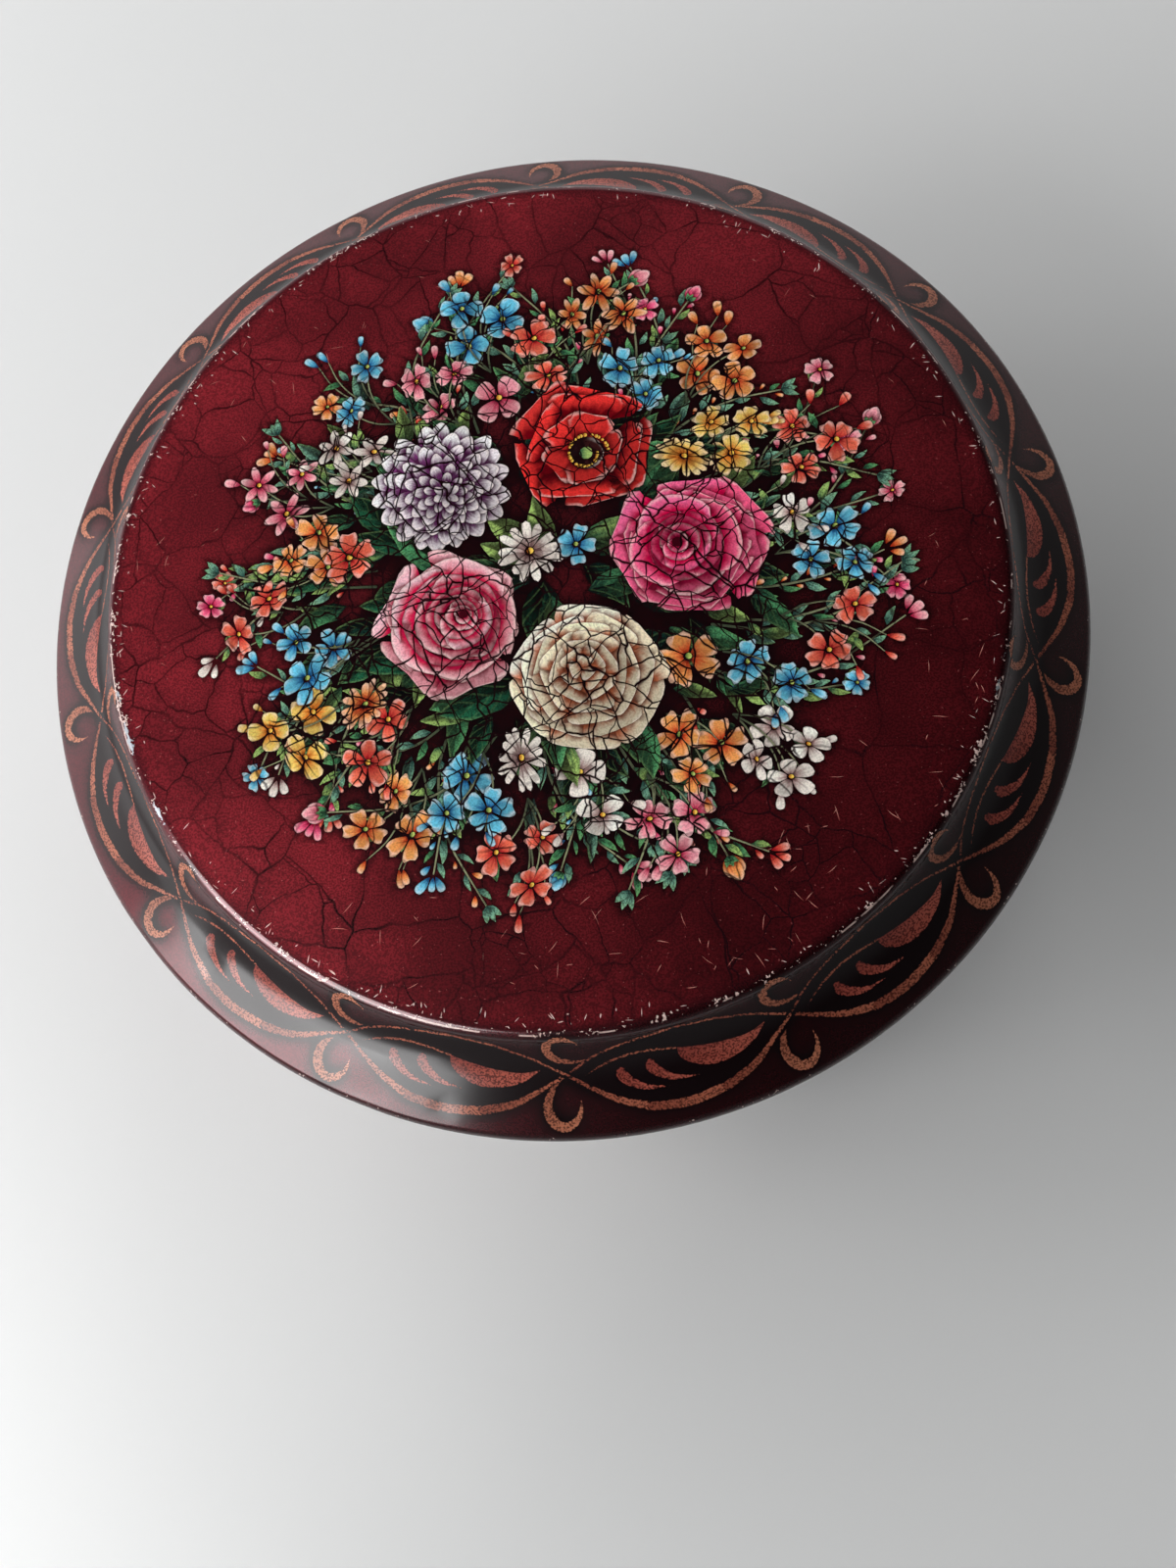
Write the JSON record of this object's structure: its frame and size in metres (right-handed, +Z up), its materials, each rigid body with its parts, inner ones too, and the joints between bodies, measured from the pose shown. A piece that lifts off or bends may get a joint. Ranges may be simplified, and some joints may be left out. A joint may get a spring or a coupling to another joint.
{
  "type": "round tin box",
  "caption": "Shallow round tinplate box with a slip-over lid: raised top plate, hollowed sloping shoulder, straight skirt, and a double-seamed base.",
  "frame": {"origin": "centre of the ring that the tin stands on, on the table", "axes": "+Z up along the tin's axis, -Y towards the viewer, the wall's side seam at +Y"},
  "size_m": [0.19, 0.19, 0.075],
  "materials": {
    "printed_lid": "varnished print in maroon with a crackle, gloss worn at the edges",
    "printed_wall": "varnished print in maroon with a crackle",
    "bare_base": "bare tinplate, satin"
  },
  "bodies": {
    "box": {"body_wall": "printed_wall", "base": "bare_base"},
    "lid": {"lid": "printed_lid"}
  },
  "joints": [
    {"name": "lid_lift", "type": "slide", "parent": "box", "child": "lid", "axis": [0, 0, 1], "range_m": [0, 0.08]}
  ]
}
